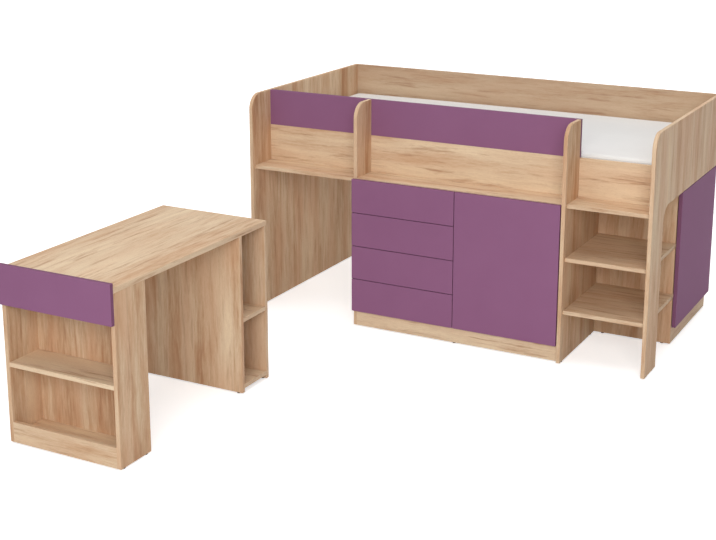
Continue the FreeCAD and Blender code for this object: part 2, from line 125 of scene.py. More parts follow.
# Places and sizes of the soft lights, the point that they look at, and the directions between which the sky
# darkens to the right
LAMPS = {
    "key_light": ((2.9, -6.8, 3.7), (5.2, 3.6)),
    "top_light": ((0.0, 0.4, 9.0), (8.0, 8.0)),
    "rear_light": ((2.0, 9.0, 2.4), (6.0, 3.5)),
}
LAMP_AIM = (0.0, 0.2, 0.5)
SKY_LEFT = -0.2
SKY_RIGHT = 0.8
WHITE = (1.0, 1.0, 1.0, 1.0)


def srgb(red, green, blue):
    """A colour picked in 0 to 255 steps, as the linear numbers that shaders use."""
    parts = []
    for step in (red, green, blue):
        level = step / 255
        parts.append(level / 12.92 if level <= 0.04045 else ((level + 0.055) / 1.055) ** 2.4)
    return tuple(parts)


def tint(name, description, colour):
    """A colour property."""
    return FloatVectorProperty(name=name, description=description, subtype="COLOR", size=3,
                               min=0.0, max=1.0, default=srgb(*colour))


def length(name, description, default):
    """A length property in metres."""
    return FloatProperty(name=name, description=description, default=default, min=0.0, unit="LENGTH",
                         precision=4)


def share(name, description, default):
    """A share from none to all."""
    return FloatProperty(name=name, description=description, default=default, min=0.0, max=1.0,
                         subtype="FACTOR")


class Wire:
    """An output socket that takes part in sums, which add Math nodes."""

    def __init__(self, look, socket):
        self.look = look
        self.socket = socket

    def math(self, operation, *terms):
        return self.look.node("ShaderNodeMath", {"operation": operation}, dict(enumerate(terms)))

    def __add__(self, other):
        return self.math("ADD", self, other)

    def __radd__(self, other):
        return self.math("ADD", other, self)

    def __sub__(self, other):
        return self.math("SUBTRACT", self, other)

    def __rsub__(self, other):
        return self.math("SUBTRACT", other, self)

    def __mul__(self, other):
        return self.math("MULTIPLY", self, other)

    def __rmul__(self, other):
        return self.math("MULTIPLY", other, self)

    def __truediv__(self, other):
        return self.math("DIVIDE", self, other)

    def __rtruediv__(self, other):
        return self.math("DIVIDE", other, self)

    def __gt__(self, other):
        return self.math("GREATER_THAN", self, other)

    def __abs__(self):
        return self.math("ABSOLUTE", self)


class Look:
    """A material under construction."""

    def __init__(self, name):
        self.material = bpy.data.materials.new(name)
        self.material.use_nodes = True
        self.tree = self.material.node_tree
        self.shader = self.tree.nodes["Principled BSDF"]

    def node(self, kind, settings, sockets, output=0):
        """A node with its settings, then the values or links of its sockets, as the wire of one output."""
        made = self.tree.nodes.new(kind)
        for key, value in settings.items():
            if key == "stops":
                self.set_stops(made.color_ramp, value)
            else:
                setattr(made, key, value)
        for key, value in sockets.items():
            self.feed(made.inputs[key], value)
        return Wire(self, made.outputs[output])

    def feed(self, socket, value):
        if isinstance(value, Wire):
            self.tree.links.new(value.socket, socket)
        elif hasattr(socket.default_value, "__len__") and len(socket.default_value) == 4:
            socket.default_value = (*value, 1.0)
        else:
            socket.default_value = value

    def set_stops(self, ramp, stops):
        while len(ramp.elements) < len(stops):
            ramp.elements.new(1.0)
        for element, (place, colour) in zip(ramp.elements, stops):
            element.position = place
            element.color = (*colour, 1.0)

    def axes(self):
        """The object's own coordinates as three wires."""
        spot = self.node("ShaderNodeTexCoord", {}, {}, "Object")
        return [self.node("ShaderNodeSeparateXYZ", {}, {0: spot}, axis) for axis in range(3)]

    def facing(self):
        """How far a face looks along each of the object's own axes, as three wires."""
        normal = self.node("ShaderNodeTexCoord", {}, {}, "Normal")
        return [self.node("ShaderNodeSeparateXYZ", {}, {0: normal}, axis) for axis in range(3)]

    def vector(self, x, y, z):
        return self.node("ShaderNodeCombineXYZ", {}, {0: x, 1: y, 2: z})

    def noise(self, vector, scale=1.0, detail=2.0, rough=0.5):
        sockets = {"Vector": vector, "Scale": scale, "Detail": detail, "Roughness": rough}
        return self.node("ShaderNodeTexNoise", {}, sockets)

    def grained(self, place, along_rate, across_rate, detail=2.0, rough=0.5, start=0.0):
        """Noise that is drawn out along the grain, at a place given as along, across and depth."""
        along, across, depth = place
        run = along * along_rate + start if start else along * along_rate
        return self.noise(self.vector(run, across * across_rate, depth * across_rate), 1.0, detail, rough)

    def between(self, value, low, high):
        """The value's place between two levels, as 0 to 1."""
        sockets = {"Value": value, "From Min": low, "From Max": high}
        return self.node("ShaderNodeMapRange", {"clamp": True}, sockets)

    def ramp(self, value, stops):
        return self.node("ShaderNodeValToRGB", {"stops": stops}, {0: value})

    def mix(self, amount, first, second):
        return self.node("ShaderNodeMix", {"data_type": "RGBA"}, {0: amount, 6: first, 7: second}, 2)

    def bump(self, height, strength, distance):
        sockets = {"Strength": strength, "Distance": distance, "Height": height}
        return self.node("ShaderNodeBump", {}, sockets)

    def finish(self, **sockets):
        """Feeds the shader, whose socket names are written with underscores."""
        for key, value in sockets.items():
            self.feed(self.shader.inputs[key.replace("_", " ")], value)
        return self.material


# The board named by cut gets its own material, lightened by painted light and darkened by painted shade.
def oak_board(look, grain, thin, cut="", painted_light=0.0, painted_shade=0.0):
    """Oak decor with long staves, brown streaks and pores along the grain, and banded edges, with painted
    light and painted shade on the boards listed for them.
    """
    name = "_".join(filter(None, ["oak_board", grain + thin, cut]))
    stance = "upright" if grain == "z" else "lying"
    level, warm_share, streaks = (getattr(look, f"{stance}_{trait}")
                                  for trait in ("tone", "warmth", "streaks"))
    across_axis = next(axis for axis in AXES if axis not in grain + thin)
    order = [AXES.index(axis) for axis in (grain, across_axis, thin)]
    build = Look(name)
    spot = build.axes()
    along, across, depth = (spot[axis] for axis in order)
    # On the narrow edges the edge band's own grain runs along the edge and round its corners
    edge = 1 - (abs(build.facing()[order[2]]) > 0.5)
    along, across, depth = (along + edge * across, across + edge * (depth - across), depth - edge * depth)
    drift = build.grained((along, across, depth), 2.2, 6) - 0.5
    across = across + drift * look.grain_drift
    stave_place = across / look.stave_width + depth * 7.3
    stave = build.node("ShaderNodeTexVoronoi", {"voronoi_dimensions": "1D", "feature": "SMOOTH_F1"},
                       {"W": stave_place, "Scale": 1.0, "Smoothness": 0.3}, "Color")
    stave_tone = build.node("ShaderNodeSeparateXYZ", {}, {0: stave}, 0)
    place = (along, across, depth)
    layers = {layer: build.grained(place, *rates) for layer, rates in OAK_LAYERS.items()}
    # Painted light: some boards have their tone lifted so that they look lit.
    tone = level + painted_light + (stave_tone - 0.5) * look.stave_contrast
    for layer, strength in OAK_TONES.items():
        tone = tone + (layers[layer] - 0.5) * strength
    base = build.ramp(tone, [(0.12, look.brown), (0.4, look.middle), (0.6, look.pale), (0.92, look.cream)])
    warmed = build.mix(build.between(layers["warmth"], 0.4, 0.65) * warm_share, base, look.warm)
    streaked = build.mix(build.between(layers["heart"], 0.55, 0.7) * streaks, warmed, look.streak)
    pores = build.between(layers["pore"], 0.56, 0.7) * 0.32
    coloured = build.mix(pores, streaked, look.brown)
    # Painted shade: some boards are mixed toward a grey tint so that they look shaded.
    if painted_shade:
        coloured = build.mix(painted_shade, coloured, look.dull)
    rough = 0.46 + (layers["fibre"] - 0.5) * 0.16 + pores * 0.5
    relief = build.bump(layers["fibre"] * 0.6 - pores * 2.0, 0.16, 0.0004)
    return build.finish(Base_Color=coloured, Roughness=rough, Normal=relief, Specular_IOR_Level=0.04)


def purple_laminate(look, thin):
    """Matt purple laminate with a fine pearl emboss and deeper bands on the thin edges, partly the band's
    own tone and partly painted shade of the gaps between fronts and of shaded edges.
    """
    build = Look(f"purple_laminate_{thin}")
    spot = build.node("ShaderNodeTexCoord", {}, {}, "Object")
    cloud = build.noise(spot, 6.0, 2.0)
    pearl = build.noise(spot, 900.0, 2.0, 0.6)
    band = 1 - (abs(build.facing()[AXES.index(thin)]) > 0.5)
    tone = (cloud - 0.5) * 0.5 + (pearl - 0.5) * 0.25 + 0.5
    faced = build.ramp(tone, [(0.2, look.deep), (0.8, look.main)])
    # The thin edges are darkened partly as the edge band's own tone and partly as painted shade, standing in
    # for the shade in the gaps between fronts.
    coloured = build.mix(band * look.edge_band_and_shade, faced, look.edge)
    rough = 0.5 + (pearl - 0.5) * 0.12 + (cloud - 0.5) * 0.06 - band * 0.08
    relief = build.bump(pearl, 0.08, 0.0003)
    return build.finish(Base_Color=coloured, Roughness=rough, Normal=relief, Specular_IOR_Level=0.02)


def white_melamine(look):
    """White drawer board with a faint pearl and a warmer edge."""
    build = Look("white_melamine")
    spot = build.node("ShaderNodeTexCoord", {}, {}, "Object")
    cloud = build.noise(spot, 9.0, 2.0)
    pearl = build.noise(spot, 700.0, 2.0)
    top = abs(build.facing()[2]) > 0.9
    faced = build.ramp(cloud, [(0.3, look.melamine_shade), (0.7, look.melamine)])
    coloured = build.mix(top * 0.25, faced, look.melamine_shade)
    rough = 0.42 + (pearl - 0.5) * 0.12
    relief = build.bump(pearl, 0.06, 0.0003)
    return build.finish(Base_Color=coloured, Roughness=rough, Normal=relief)


def printed_hardboard(look):
    """A hardboard back: oak print inside, bare brown fibre outside."""
    build = Look("printed_hardboard")
    x, y, z = build.axes()
    outside = build.facing()[1] > 0.5
    print_band = build.noise(build.vector(x * 20, y, z * 0.9), 1.0, 3.0)
    printed = build.ramp(print_band, [(0.3, look.middle), (0.7, look.pale)])
    fleck = build.noise(build.vector(x, y, z), 420.0, 4.0, 0.7)
    cloud = build.noise(build.vector(x, y, z), 7.0, 3.0)
    bare = build.ramp(fleck * 0.6 + cloud * 0.4, [(0.35, look.hardboard_shade), (0.65, look.hardboard)])
    coloured = build.mix(outside, printed, bare)
    rough = 0.55 + outside * 0.2 + (fleck - 0.5) * 0.1
    relief = build.bump(fleck * outside, 0.2, 0.0004)
    return build.finish(Base_Color=coloured, Roughness=rough, Normal=relief)


def planed_pine(name, grain, look):
    """Planed softwood with growth lines and a few darker flames along the grain."""
    build = Look(name)
    spot = build.axes()
    along = spot[AXES.index(grain)]
    first, second = (spot[AXES.index(axis)] for axis in AXES if axis != grain)
    bend = build.grained((along, first, second), 2.0, 6) - 0.5
    rings = build.noise(build.vector(along * 1.4, first * 60 + bend * 4, second * 60), 1.0, 2.0)
    fibre = build.grained((along, first, second), 14, 700)
    tone = rings * 0.8 + fibre * 0.2
    coloured = build.ramp(tone, [(0.32, look.pine_shade), (0.58, look.pine)])
    rough = 0.58 + (fibre - 0.5) * 0.2
    relief = build.bump(tone, 0.15, 0.0004)
    return build.finish(Base_Color=coloured, Roughness=rough, Normal=relief)


def glide_plastic(look):
    """Dark moulded plastic with a fine spark-eroded grain."""
    build = Look("glide_plastic")
    spot = build.node("ShaderNodeTexCoord", {}, {}, "Object")
    spark = build.noise(spot, 1600.0, 2.0)
    coloured = build.ramp(spark, [(0.3, look.plastic_shade), (0.7, look.plastic)])
    rough = 0.5 + (spark - 0.5) * 0.2
    relief = build.bump(spark, 0.15, 0.0002)
    return build.finish(Base_Color=coloured, Roughness=rough, Normal=relief)


def nickel_plate(look):
    """Nickel-plated pressed steel with fine drawing lines."""
    build = Look("nickel_plate")
    x, y, z = build.axes()
    lines = build.noise(build.vector(x * 40, y * 40, z * 1800), 1.0, 2.0)
    smear = build.noise(build.vector(x, y, z), 60.0, 2.0)
    coloured = build.ramp(smear, [(0.3, look.nickel_shade), (0.7, look.nickel)])
    rough = 0.36 + (lines - 0.5) * 0.16 + (smear - 0.5) * 0.08
    relief = build.bump(lines, 0.05, 0.0002)
    return build.finish(Base_Color=coloured, Metallic=1.0, Roughness=rough, Normal=relief)


def white_coat(look):
    """White powder coat on rolled steel."""
    build = Look("white_coat")
    spot = build.node("ShaderNodeTexCoord", {}, {}, "Object")
    peel = build.noise(spot, 500.0, 2.0)
    coloured = build.ramp(peel, [(0.3, look.coat_shade), (0.7, look.coat)])
    rough = 0.36 + (peel - 0.5) * 0.12
    relief = build.bump(peel, 0.1, 0.0003)
    return build.finish(Base_Color=coloured, Roughness=rough, Normal=relief)


def knitted_cover(look):
    """White jersey with fine knit rows, small cloudiness and a soft sheen."""
    build = Look("knitted_cover")
    x, y, z = build.axes()
    waves = []
    for direction, place in (("X", build.vector(x + z, y, z)), ("Y", build.vector(x, y + z, z))):
        bands = {"wave_type": "BANDS", "bands_direction": direction}
        sockets = {"Vector": place, "Scale": look.knit_rows, "Distortion": 1.5, "Detail": 1.0}
        waves.append(build.node("ShaderNodeTexWave", bands, sockets))
    rows, wales = waves
    cloud = build.noise(build.vector(x, y, z), 5.0, 3.0)
    knit = rows * 0.5 + wales * 0.5
    tone = cloud * 0.35 + knit * 0.65
    coloured = build.ramp(tone, [(0.3, look.cover_shade), (0.65, look.cover)])
    rough = 0.82 + (knit - 0.5) * 0.1
    relief = build.bump(knit, 0.18, 0.0006)
    return build.finish(Base_Color=coloured, Roughness=rough, Normal=relief, Sheen_Weight=0.25,
                        Sheen_Roughness=0.5)


def woven_tape(look):
    """White woven edge tape with a twill slant."""
    build = Look("woven_tape")
    x, y, z = build.axes()
    slant = {"wave_type": "BANDS", "bands_direction": "DIAGONAL"}
    twill = build.node("ShaderNodeTexWave", slant, {"Vector": build.vector(x, y, z), "Scale": 260.0,
                                                    "Distortion": 0.6})
    coloured = build.ramp(twill, [(0.2, look.cover_shade), (0.7, look.cover)])
    rough = 0.75 + (twill - 0.5) * 0.1
    relief = build.bump(twill, 0.3, 0.0005)
    return build.finish(Base_Color=coloured, Roughness=rough, Normal=relief)


class BoardLook(bpy.types.PropertyGroup):
    """Colours and figure of the oak decor, and the colours of the other boards."""
    cream: tint("Cream", "Palest part of the oak figure", (233, 210, 178))
    pale: tint("Pale oak", "Light part of the oak figure", (221, 195, 164))
    middle: tint("Middle oak", "Middle part of the oak figure", (208, 175, 142))
    brown: tint("Brown oak", "Dark part of the oak figure", (183, 136, 101))
    warm: tint("Warm oak", "Orange cast of some staves", (213, 170, 136))
    streak: tint("Streak", "Brown heart streaks", (160, 108, 76))
    # Painted shade: this grey tint is mixed into the back rail and the ladder steps to darken them as if
    # shaded.
    dull: tint("Dull oak", "Greyer cast of the boards cut from a dull part of the decor", (150, 120, 98))
    upright_tone: share("Upright boards", "Place of the upright boards between brown and cream", 0.49)
    upright_warmth: share("Upright warmth", "How much of the upright boards has the warm cast", 0.55)
    upright_streaks: share("Upright streaks", "How strongly heart streaks show on upright boards", 0.4)
    lying_tone: share("Lying boards", "Place of the rails, tops and shelves between brown and cream", 0.62)
    lying_warmth: share("Lying warmth", "How much of the rails, tops and shelves has the warm cast", 0.3)
    lying_streaks: share("Lying streaks", "How strongly heart streaks show on rails and shelves", 0.62)
    stave_width: length("Stave width", "Width of the staves in the decor", 0.066)
    stave_contrast: share("Stave contrast", "How much neighbouring staves differ", 0.28)
    grain_drift: length("Grain drift", "How far the grain wanders to the side", 0.022)
    hardboard: tint("Hardboard", "Bare outside of the cabinet back", (176, 142, 105))
    hardboard_shade: tint("Hardboard shade", "Dark flecks of the bare hardboard", (150, 116, 82))
    pine: tint("Pine", "Slats and battens", (226, 196, 150))
    pine_shade: tint("Pine growth lines", "Darker growth lines of the slats", (199, 158, 108))
    melamine: tint("White melamine", "Drawer boxes", (232, 230, 226))
    melamine_shade: tint("Melamine shade", "Edges of the drawer boxes", (220, 216, 208))


class FrontLook(bpy.types.PropertyGroup):
    """Colours of the purple fronts."""
    main: tint("Purple", "Doors, drawer fronts, guard and desk fascia", (146, 100, 133))
    deep: tint("Deep purple", "Slightly deeper clouds in the purple", (140, 94, 127))
    # The edge colour is partly the edge band's own tone and partly painted shade of the gaps and of edges
    # that lie in shade.
    edge: tint("Purple edge", "Edge bands of the purple boards", (122, 80, 105))
    edge_band_and_shade: share("Edge band", "How much deeper the edge bands are", 0.8)


class HardwareLook(bpy.types.PropertyGroup):
    """Colours and sizes of hinges, runners, glides and screws."""
    nickel: tint("Nickel", "Hinges and pins", (206, 204, 198))
    nickel_shade: tint("Nickel shade", "Dull patches on the hinges", (184, 182, 176))
    coat: tint("White coat", "Drawer runners", (228, 228, 225))
    coat_shade: tint("White coat shade", "Hollows in the runners' coat", (214, 214, 210))
    plastic: tint("Glide plastic", "Floor glides", (52, 48, 45))
    plastic_shade: tint("Glide plastic shade", "Hollows in the glides' grain", (36, 33, 31))
    screw_radius: length("Screw head radius", "Radius of the hinge screws' heads", 0.003)
    cup_screw_inset: length("Cup screw inset", "From a hinge cup's flange end to its screw", 0.0043)
    cup_flange: length("Cup flange", "Height of a hinge cup's flange", 0.052)
    plate_screw_inset: length("Plate screw inset", "From a hinge plate's end and edge to its screws", 0.005)
    plate_height: length("Plate height", "Height of a hinge plate", 0.024)
    plate_t: length("Plate thickness", "Thickness of a hinge plate", 0.003)
    nail_radius: length("Nail head radius", "Radius of the cabinet back's nail heads", 0.003)
    nail_inset: length("Nail inset", "From the cabinet back's edge to its nails", 0.009)
    nail_pitch: length("Nail pitch", "Distance between the cabinet back's nails", 0.13)


class BeddingLook(bpy.types.PropertyGroup):
    """Colours and form of the mattress."""
    cover: tint("Cover", "Mattress cover", (233, 232, 230))
    cover_shade: tint("Cover shade", "Hollows of the knit", (221, 220, 218))
    knit_rows: FloatProperty(name="Knit rows", description="Rows of the knit per metre, as a wave scale",
                             default=90.0, min=1.0)
    side_inset: length("Side inset", "How far inside the mattress's sides the cover starts", 0.001)
    top_inset: length("Top inset", "How far under the mattress's top the cover starts", 0.009)
    side_give: length("Side give", "Farthest that the sides draw in between the corners", 0.005)
    edge_round: length("Mattress edge", "Radius of the mattress edges", 0.02)
    proud: length("Mattress proud", "How much higher the filled cover is than the CAD mattress", 0.008)
    swell: length("Mattress swell", "Farthest that the pressed cover may rise or sink", 0.012)
    voxel: length("Mattress mesh", "Mesh size of the mattress before the cloth is pressed", 0.0155)
    crown: length("Mattress crown", "How much higher the middle is than the edges, each way", 0.0035)
    tape_radius: length("Edge tape", "Radius of the sewn edge tape", 0.0022)
    tape_sink: length("Edge tape sink", "How deep the tape's middle lies in the cover", 0.001)


class StageLook(bpy.types.PropertyGroup):
    """Camera and light."""
    lens: FloatProperty(name="Lens", description="Focal length in millimetres", default=68.37, min=1.0,
                        unit="CAMERA")
    camera_place: FloatVectorProperty(name="Camera", description="Camera position", size=3, unit="LENGTH",
                                      default=(2.561, -5.186, 2.288))
    camera_turn: FloatProperty(name="Turn", description="Camera turn to the left of +Y", unit="ROTATION",
                               default=math.radians(28.20))
    camera_pitch: FloatProperty(name="Pitch", description="Camera pitch below the horizon", unit="ROTATION",
                                default=math.radians(13.96))
    shift_y: FloatProperty(name="Vertical shift", description="Lens shift of the camera", default=-0.12)
    key_power: FloatProperty(name="Key light", description="Power of the front light", default=372.0,
                             min=0.0, unit="POWER")
    top_power: FloatProperty(name="Top light", description="Power of the light above", default=420.0,
                             min=0.0, unit="POWER")
    rear_power: FloatProperty(name="Rear light", description="Power of the light behind", default=260.0,
                              min=0.0, unit="POWER")
    sky_level: FloatProperty(name="Sky", description="Level of the light from all round", default=0.38,
                             min=0.0)
    sky_right: share("Sky on the right", "Share of the sky's level on the right", 0.1)


class LoftBedSettings(bpy.types.PropertyGroup):
    """All settings of the loft bed."""
    boards: PointerProperty(type=BoardLook)
    fronts: PointerProperty(type=FrontLook)
    hardware: PointerProperty(type=HardwareLook)
    bedding: PointerProperty(type=BeddingLook)
    stage: PointerProperty(type=StageLook)


def paint(names, material):
    """Gives CAD nodes a material through their own slots."""
    for name in names:
        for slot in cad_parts[name].material_slots:
            slot.material = material


def deselect():
    """Leaves nothing selected."""
    bpy.ops.object.select_all(action="DESELECT")


def take(obj):
    """Makes an object the only selected and the active one."""
    deselect()
    obj.select_set(True)
    bpy.context.view_layer.objects.active = obj


def settle(obj):
    """Puts an object's place into its mesh."""
    take(obj)
    bpy.ops.object.transform_apply(location=True, rotation=True, scale=True)


def select_parts(obj, kind, wanted):
    """In edit mode, selects only the vertices, edges or faces that a test wants."""
    bpy.ops.mesh.select_mode(type=kind)
    bpy.ops.mesh.select_all(action="DESELECT")
    mesh = bmesh.from_edit_mesh(obj.data)
    parts = {"VERT": mesh.verts, "EDGE": mesh.edges, "FACE": mesh.faces}[kind]
    for part in parts:
        part.select_set(wanted(part))
    mesh.select_flush_mode()
    bmesh.update_edit_mesh(obj.data)


def new_piece(name, body, material):
    """Names the active object and gives it its material and the body that it rides on."""
    obj = bpy.context.object
    obj.name = name
    obj.data.name = name
    obj.data.materials.clear()
    obj.data.materials.append(material)
    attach(obj, body)
    return obj


class LOFTBED_OT_boards(bpy.types.Operator):
    """Give every oak board its decor, with the grain along the board"""
    bl_idname = "loft_bed.boards"
    bl_label = "Oak boards"

    def execute(self, context):
        look = context.scene.loft_bed.boards
        for axes, names in OAK_NODES.items():
            paint(names, oak_board(look, *axes))
            # Boards listed with painted light and shade get a material of their own.
            for name in filter(OAK_PAINTED_LIGHT_SHADE.get, names):
                paint([name], oak_board(look, *axes, name, *OAK_PAINTED_LIGHT_SHADE[name]))
        paint(["cabinet_back"], printed_hardboard(look))
        return {"FINISHED"}


class LOFTBED_OT_fronts(bpy.types.Operator):
    """Give the doors, drawer fronts, guard and desk fascia their purple laminate"""
    bl_idname = "loft_bed.fronts"
    bl_label = "Purple fronts"

    def execute(self, context):
        for thin, names in FRONT_NODES.items():
            paint(names, purple_laminate(context.scene.loft_bed.fronts, thin))
        return {"FINISHED"}


class LOFTBED_OT_drawer_boxes(bpy.types.Operator):
    """Give the drawer boxes their white board"""
    bl_idname = "loft_bed.drawer_boxes"
    bl_label = "Drawer boxes"

    def execute(self, context):
        paint(DRAWER_BOXES, white_melamine(context.scene.loft_bed.boards))
        return {"FINISHED"}


class LOFTBED_OT_bed_base(bpy.types.Operator):
    """Give the slats and their battens planed pine"""
    bl_idname = "loft_bed.bed_base"
    bl_label = "Bed base"

    def execute(self, context):
        look = context.scene.loft_bed.boards
        paint(["bed_slats"], planed_pine("pine_slats", "y", look))
        paint(["slat_bearers"], planed_pine("pine_battens", "x", look))
        return {"FINISHED"}


class LOFTBED_OT_hardware(bpy.types.Operator):
    """Give the hinges, pins, runners and glides their metal and plastic"""
    bl_idname = "loft_bed.hardware"
    bl_label = "Hardware"

    def execute(self, context):
        look = context.scene.loft_bed.hardware
        paint(HINGE_NODES, nickel_plate(look))
        paint(RUNNER_NODES, white_coat(look))
        paint(GLIDE_NODES, glide_plastic(look))
        return {"FINISHED"}


class LOFTBED_OT_fasteners(bpy.types.Operator):
    """Drive the screws of the hinges and the nails of the cabinet back"""
    bl_idname = "loft_bed.fasteners"
    bl_label = "Screws and nails"

    def execute(self, context):
        look = context.scene.loft_bed.hardware
        screw = self.head(look.screw_radius, recess=True)
        left, back, front = Vector((-1, 0, 0)), Vector((0, 1, 0)), Vector((0, -1, 0))
        for name, inward, wall in (("cabinet", back, left), ("end", left, front)):
            cup_spots = self.flange_spots(f"{name}_hinge_cups", inward, look)
            self.drive(f"{name}_cup_screws", f"{name}_door", screw, cup_spots, inward)
            plate_spots = self.plate_spots(f"{name}_hinge_arms", inward, wall, look)
            self.drive(f"{name}_plate_screws", "bed_frame", screw, plate_spots, wall)
        nail = self.head(look.nail_radius, recess=False)
        self.drive("cabinet_back_nails", "bed_frame", nail, self.nail_spots(look), back)
        for pattern in (screw, nail):
            take(pattern)
            bpy.ops.object.delete()
        return {"FINISHED"}

    def head(self, radius, recess):
        """One low domed head that stands on the origin, a screw's with a driver recess."""
        height = radius * HEAD_HEIGHT
        deselect()
        bpy.ops.mesh.primitive_cylinder_add(vertices=HEAD_SIDES, radius=radius, depth=height,
                                            location=(0, 0, height / 2))
        obj = bpy.context.object
        settle(obj)
        bpy.ops.object.mode_set(mode="EDIT")
        select_parts(obj, "FACE", lambda face: face.normal.z > 0.9)
        bpy.ops.mesh.inset(thickness=radius * HEAD_SLOPE)
        bpy.ops.transform.translate(value=(0, 0, height * HEAD_DOME))
        if recess:
            bpy.ops.mesh.inset(thickness=radius * RECESS_RIM)
            sink = {"value": (0, 0, -height * RECESS_DEPTH)}
            bpy.ops.mesh.extrude_region_move(TRANSFORM_OT_translate=sink)
        bpy.ops.object.mode_set(mode="OBJECT")
        bpy.ops.object.shade_smooth_by_angle(angle=math.radians(40))
        return obj

    def side(self, low, high, direction):
        """The middle of the box's side or edge that looks in a direction."""
        middle = (low + high) / 2
        half = (high - low) / 2
        return Vector([middle[axis] + half[axis] * direction[axis] for axis in range(3)])

    def pairs(self, spot, low, high, tall, inset):
        """A spot repeated near both ends of the lowest and of the highest piece in a box."""
        heights = [low.z + reach for reach in (inset, tall - inset)]
        heights += [high.z - reach for reach in (inset, tall - inset)]
        return [Vector((spot.x, spot.y, height)) for height in heights]

    def flange_spots(self, node, inward, look):
        """Two screws on each cup's flange, above and below the cup."""
        low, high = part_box(node)
        return self.pairs(self.side(low, high, inward), low, high, look.cup_flange, look.cup_screw_inset)

    def plate_spots(self, node, inward, wall, look):
        """Two screws on each hinge plate, at the end away from the door."""
        low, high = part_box(node)
        spot = self.side(low, high, inward - wall) - inward * look.plate_screw_inset + wall * look.plate_t
        return self.pairs(spot, low, high, look.plate_height, look.plate_screw_inset)

    def nail_spots(self, look):
        """Nails through the cabinet back into the bottom board and the middle partition."""
        low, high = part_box("cabinet_back")
        part_low, part_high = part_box("middle_partition")
        reach = high.x - low.x - 2 * look.nail_inset
        columns = round(reach / look.nail_pitch)
        bottom = low.z + look.nail_inset
        spots = [(low.x + look.nail_inset + reach * step / columns, bottom) for step in range(columns + 1)]
        rows = round((high.z - bottom) / look.nail_pitch)
        pitch = (high.z - bottom) / rows
        spots += [((part_low.x + part_high.x) / 2, bottom + pitch * step) for step in range(1, rows)]
        return [Vector((x, high.y, z)) for x, z in spots]

    def drive(self, name, body, head, spots, facing):
        """Copies of a head, turned to their facing and joined into one piece."""
        turn = Vector((0, 0, 1)).rotation_difference(facing)
        copies = []
        for spot in spots:
            take(head)
            bpy.ops.object.duplicate()
            copy = bpy.context.object
            copy.rotation_mode = "QUATERNION"
            copy.rotation_quaternion = turn
            copy.location = spot
            copies.append(copy)
        deselect()
        for copy in copies:
            copy.select_set(True)
        bpy.context.view_layer.objects.active = copies[0]
        bpy.ops.object.join()
        settle(bpy.context.object)
        new_piece(name, body, bpy.data.materials["nickel_plate"])


def mattress_space(look):
    """The CAD mattress's corners, with the height by which the cover stands proud of it."""
    low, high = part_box("mattress")
    return low, high + Vector((0, 0, look.proud))


class LOFTBED_OT_mattress(bpy.types.Operator):
    """Model the mattress as a cover pressed out from inside, with flat rest and crowned top"""
    bl_idname = "loft_bed.mattress"
    bl_label = "Mattress"

    def execute(self, context):
        look = context.scene.loft_bed.bedding
        low, high = mattress_space(look)
        obj = self.block(low, high, look)
        self.press(obj, look, low, high)
        take(obj)
        bpy.ops.object.modifier_add(type="SUBSURF")
        obj.modifiers[-1].levels = 1
        obj.modifiers[-1].render_levels = 1
        bpy.ops.object.modifier_apply(modifier=obj.modifiers[-1].name)
        bpy.ops.object.shade_smooth()
        mattress = new_piece("mattress_cover", "bed_frame", knitted_cover(look))
        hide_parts("mattress")
        return {"FINISHED"}

    def block(self, low, high, look):
        """A rounded block, a little smaller than the CAD mattress, with an even mesh."""
        size = high - low - Vector((2 * look.side_inset, 2 * look.side_inset, look.top_inset))
        centre = (low + high) / 2 - Vector((0, 0, look.top_inset / 2))
        deselect()
        bpy.ops.mesh.primitive_cube_add(size=1, location=centre, scale=size)
        obj = bpy.context.object
        settle(obj)
        bpy.ops.object.mode_set(mode="EDIT")
        bpy.ops.mesh.select_all(action="SELECT")
        bpy.ops.mesh.bevel(offset=look.edge_round, segments=EDGE_STEPS, affect="EDGES")
        bpy.ops.object.mode_set(mode="OBJECT")
        obj.data.remesh_voxel_size = look.voxel
        bpy.ops.object.voxel_remesh()
        return obj

    def press(self, obj, look, low, high):
        """Presses the cover out from inside as cloth, then keeps each point near its start."""
        start = [vertex.co.copy() for vertex in obj.data.vertices]
        take(obj)
        bpy.ops.object.modifier_add(type="CLOTH")
        cloth = obj.modifiers[-1]
        cloth.settings.quality = PRESS_QUALITY
        cloth.settings.mass = PRESS_MASS
        cloth.settings.use_pressure = True
        cloth.settings.uniform_pressure_force = PRESS_FORCE
        cloth.settings.effector_weights.gravity = 0.0
        for number in range(1, PRESS_FRAMES + 1):
            bpy.context.scene.frame_set(number)
        bpy.ops.object.modifier_apply(modifier=cloth.name)
        bpy.context.scene.frame_set(1)
        for vertex, place in zip(obj.data.vertices, start):
            self.hold(vertex.co, place, low, high, look)

    def hold(self, spot, place, low, high, look):
        """Keeps a point near its place: flat below, crowned above, with sides drawn in between corners."""
        along, aside = ((place[axis] - low[axis]) / (high[axis] - low[axis]) * 2 - 1 for axis in (0, 1))
        gives = (look.side_give * (1 - aside ** 2), look.side_give * (1 - along ** 2), look.swell)
        most = high - Vector((0, 0, look.crown * (along ** 2 + aside ** 2)))
        for axis, give in enumerate(gives):
            way = min(max(spot[axis] - place[axis], -give), give)
            spot[axis] = min(max(place[axis] + way, low[axis]), most[axis])


